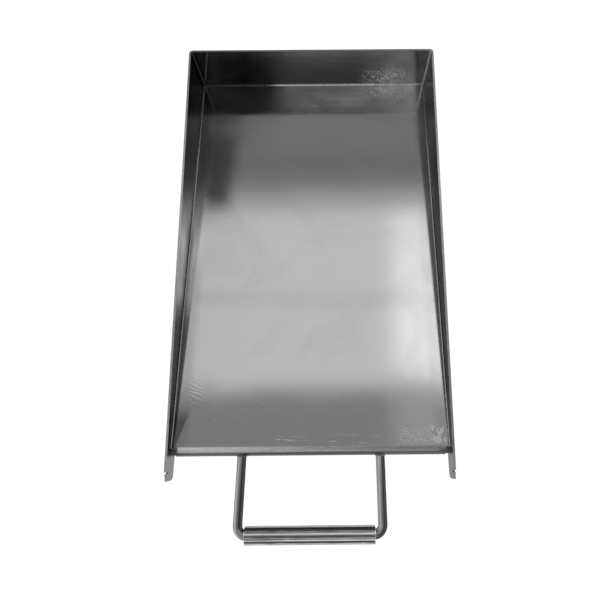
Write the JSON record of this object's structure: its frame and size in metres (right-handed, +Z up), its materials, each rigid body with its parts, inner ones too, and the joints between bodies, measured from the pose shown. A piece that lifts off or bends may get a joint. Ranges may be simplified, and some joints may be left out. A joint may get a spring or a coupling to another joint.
{
  "type": "drain pan",
  "caption": "Shallow open-fronted sheet steel drain pan with tapering side walls, rolled front lip, hooked ears and a round bar pull handle with a turning grip.",
  "frame": {"origin": "under the middle of the overall box, on the plane the pan stands on", "axes": "+X across the pan to the right as seen from the handle, +Y towards the back wall, +Z up"},
  "size_m": [0.25, 0.4678, 0.0505],
  "materials": {
    "wall_steel": "rolled stainless sheet, satin, bright sheared edges",
    "floor_steel": "rolled stainless sheet, satin, lightly scuffed",
    "bar_steel": "drawn round bar, satin, drawing lines along it",
    "grip_steel": "drawn tube, satin, drawing lines along it",
    "weld_metal": "as-laid weld bead"
  },
  "bodies": {
    "pan": {"wall_band": "wall_steel", "floor_sheet": "floor_steel", "handle_bar": "bar_steel", "back_weld": "weld_metal", "side_weld_left": "weld_metal", "side_weld_right": "weld_metal", "lip_weld_left": "weld_metal", "lip_weld_right": "weld_metal", "leg_weld_left": "weld_metal", "leg_weld_right": "weld_metal"},
    "grip": {"grip_sleeve": "grip_steel"}
  },
  "joints": [
    {"name": "grip_turn", "type": "hinge", "parent": "pan", "child": "grip", "pos_m": [0, -0.22643, 0.01124], "axis": [1, 0, 0], "continuous": true}
  ]
}
